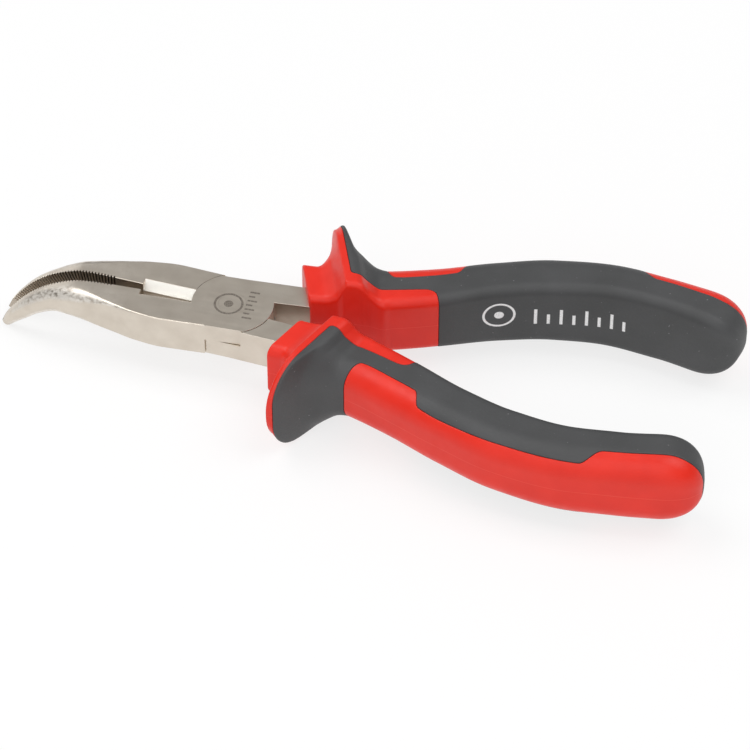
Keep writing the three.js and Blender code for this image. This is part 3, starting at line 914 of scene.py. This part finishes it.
def steel_material(lever):
    """Satin nickel: painted shade darkens the teeth and other hidden faces, and a painted highlight lightens
    the ground cutting bevels.
    """
    n = Nodes(f"nickel_plated_steel_{lever}")
    x, y, z = n.lever_place(lever)
    level = n.levelness()
    depth = n.math("MULTIPLY", y, -1.0)
    cloud = n.noise(230, 4)
    grain = n.noise(3800, 3)
    lay = n.noise(900, 3, (0.12, 1, 1))
    bevel = n.all_of(n.within(x, CUTTER_START, CUTTER_END), n.within(level, 0.2, 0.8, 0.05),
                     n.within(depth, -0.1, CUTTER_MOUTH + 0.02), n.above(z, CUTTER_BEVEL_FOOT))
    # worn patches on the tilted faces of the nose, which also paint a broad highlight there
    worn_and_highlit = n.all_of(n.below(x, TEETH_START + 4, 3), n.within(level, 0.35, 0.93, 0.1),
                    n.above(depth, 1.5, 0.5), n.above(n.noise(1300, 5), 0.44, 0.1))

    colour = n.mix(n.ramp(cloud, 0, 1, 0.32, 0.68), NICKEL_DARK, NICKEL_LIGHT)
    colour = painted_shade_steel(n, x, y, level, depth, cloud, colour)
    # painted highlight: the ground cutting bevels are lightened to near white
    colour = n.mix(bevel, colour, GROUND_BEVEL_HIGHLIGHT)
    # wear and painted highlight on the nose's rounded faces
    colour = n.mix(n.math("MULTIPLY", worn_and_highlit, 0.65), colour, WORN_AND_HIGHLIT_STEEL)
    rough = n.ramp(lay, 0.28, 0.36, 0.3, 0.7)
    rough = n.math("ADD", rough, n.math("MULTIPLY", n.any_of(bevel, worn_and_highlit), 0.25))
    if lever == "a":
        top = n.all_of(n.above(z, HEAD_HALF_THICKNESS - 0.02, 0.01), n.above(level, 0.95, 0.02))
        mark = n.any_of(n.dotted_ring(x, y, ETCHED_CENTRE, ETCHED_RADIUS), n.strokes(y, x, **ETCHED_STROKES))
        etched = n.all_of(top, mark, n.ramp(grain, 0.55, 1.0, 0.35, 0.55))
        colour = n.mix(etched, colour, ETCHED_STEEL)
        rough = n.math("ADD", rough, n.math("MULTIPLY", etched, 0.2))
    n.set("Base Color", colour)
    n.set("Metallic", 1.0)
    n.set("Roughness", rough)
    n.set("Normal", n.bump(grain, 0.03, 0.00003, n.bump(lay, 0.03, 0.00004)))
    return n.material


def sleeve_material(lever):
    """Semi-gloss moulded plastic with the mould's parting line round the middle."""
    n = Nodes(f"red_moulded_plastic_{lever}")
    z = n.lever_place(lever)[2]
    parting = n.below(n.math("ABSOLUTE", z), 0.05, 0.035)
    cloud = n.noise(120, 4)
    grain = n.noise(2600, 3)
    colour = n.mix(n.ramp(cloud, 0, 1, 0.3, 0.7), RED_DARK, RED_LIGHT)
    colour = n.mix(n.math("MULTIPLY", parting, 0.35), colour, PARTING_LINE_RED)
    n.set("Base Color", colour)
    n.set("Roughness", n.ramp(n.noise(500, 4), 0.34, 0.46, 0.3, 0.7))
    n.set("Specular IOR Level", 0.36)
    n.set("Normal", n.bump(grain, 0.06, 0.00004, n.bump(parting, 0.25, 0.00008)))
    return n.material


def overmould_material(lever):
    """Soft matt rubber with a fine leathery grain and a little dust; lever a's carries a print."""
    n = Nodes(f"grey_soft_rubber_{lever}")
    x, y, z = n.lever_place(lever)
    cloud = n.noise(90, 4)
    grain = n.noise(3400, 4)
    leather = n.add("ShaderNodeTexVoronoi", Scale=1500.0)
    n.link(n.position, leather.inputs["Vector"])
    specks = n.above(n.noise(1500, 1), 0.79, 0.02)
    colour = n.mix(n.ramp(cloud, 0, 1, 0.3, 0.7), RUBBER_DARK, RUBBER_LIGHT)
    colour = n.mix(n.math("MULTIPLY", specks, 0.5), colour, DUST)
    if lever == "a":
        mark = n.any_of(n.dotted_ring(x, z, PRINT_CENTRE, PRINT_RADIUS), n.strokes(x, z, **PRINT_STROKES))
        inner_side = n.all_of(n.below(n.levelness(), 0.6, 0.1), n.below(y, PRINT_OUTERMOST, 0.5))
        printed = n.all_of(mark, inner_side, n.ramp(grain, 0.8, 1.0, 0.35, 0.5))
        colour = n.mix(printed, colour, PRINT_WHITE)
    n.set("Base Color", colour)
    n.set("Roughness", n.ramp(grain, 0.5, 0.62, 0.3, 0.7))
    n.set("Normal", n.bump(grain, 0.2, 0.00005, n.bump(leather.outputs["Distance"], 0.12, 0.00008)))
    return n.material


# ---- stage ----

def build_floor():
    n = Nodes("white_floor")
    n.set("Base Color", FLOOR_GREY)
    n.set("Roughness", 1.0)
    n.set("Specular IOR Level", 0.0)
    n.set("Emission Color", WHITE)
    n.set("Emission Strength", FLOOR_GLOW)
    half = FLOOR_HALF
    corners = [(-half, -half, 0), (half, -half, 0), (half, half, 0), (-half, half, 0)]
    floor = new_object("floor", corners, [(0, 1, 2, 3)])
    floor.data.materials.append(n.material)


def build_lights():
    world = bpy.data.worlds.new("studio")
    bpy.context.scene.world = world
    world.use_nodes = True
    background = world.node_tree.nodes["Background"]
    background.inputs["Color"].default_value = (*WHITE, 1)
    background.inputs["Strength"].default_value = WORLD_STRENGTH
    for name, location, size, power in LIGHTS:
        light = bpy.data.lights.new(name, "AREA")
        light.shape = "RECTANGLE"
        light.size, light.size_y = size
        light.energy = power
        holder = bpy.data.objects.new(name, light)
        holder.location = location
        aim = Vector(LIGHT_TARGET) - Vector(location)
        holder.rotation_euler = aim.to_track_quat("-Z", "Y").to_euler()
        bpy.context.scene.collection.objects.link(holder)


def build_camera():
    azimuth = math.radians(VIEW_AZIMUTH)
    elevation = math.radians(VIEW_ELEVATION)
    right = Vector((math.cos(azimuth), math.sin(azimuth), 0))
    ahead = Vector((-math.sin(azimuth) * math.cos(elevation), math.cos(azimuth) * math.cos(elevation),
                    -math.sin(elevation)))
    up = right.cross(ahead)
    aim = Vector(PIVOT) + right * AIM_RIGHT_OF_PIVOT - up * AIM_BELOW_PIVOT
    camera = bpy.data.cameras.new("camera")
    camera.sensor_width = SENSOR
    camera.lens = SENSOR * VIEW_DISTANCE / FIELD_WIDTH
    camera.clip_end = CLIP_END
    holder = bpy.data.objects.new("camera", camera)
    turn = Matrix((right, up, -ahead)).transposed().to_4x4()
    holder.matrix_world = Matrix.Translation((aim - ahead * VIEW_DISTANCE) * MM) @ turn
    bpy.context.scene.collection.objects.link(holder)
    bpy.context.scene.camera = holder
    bpy.context.scene.view_settings.view_transform = "Standard"


skin = grip_skin()
for side in "ab":
    body = f"lever_{side}"
    steel = steel_material(side)
    show(steel_lever(side), steel, body, f"steel_lever_{side}")
    if side == "a":
        show(rivet(), steel, body, "pivot_rivet")
    show(hard_sleeve(side, skin), sleeve_material(side), body, f"grip_sleeve_{side}")
    show(soft_overmould(side, skin), overmould_material(side), body, f"grip_overmould_{side}")
build_floor()
build_lights()
build_camera()
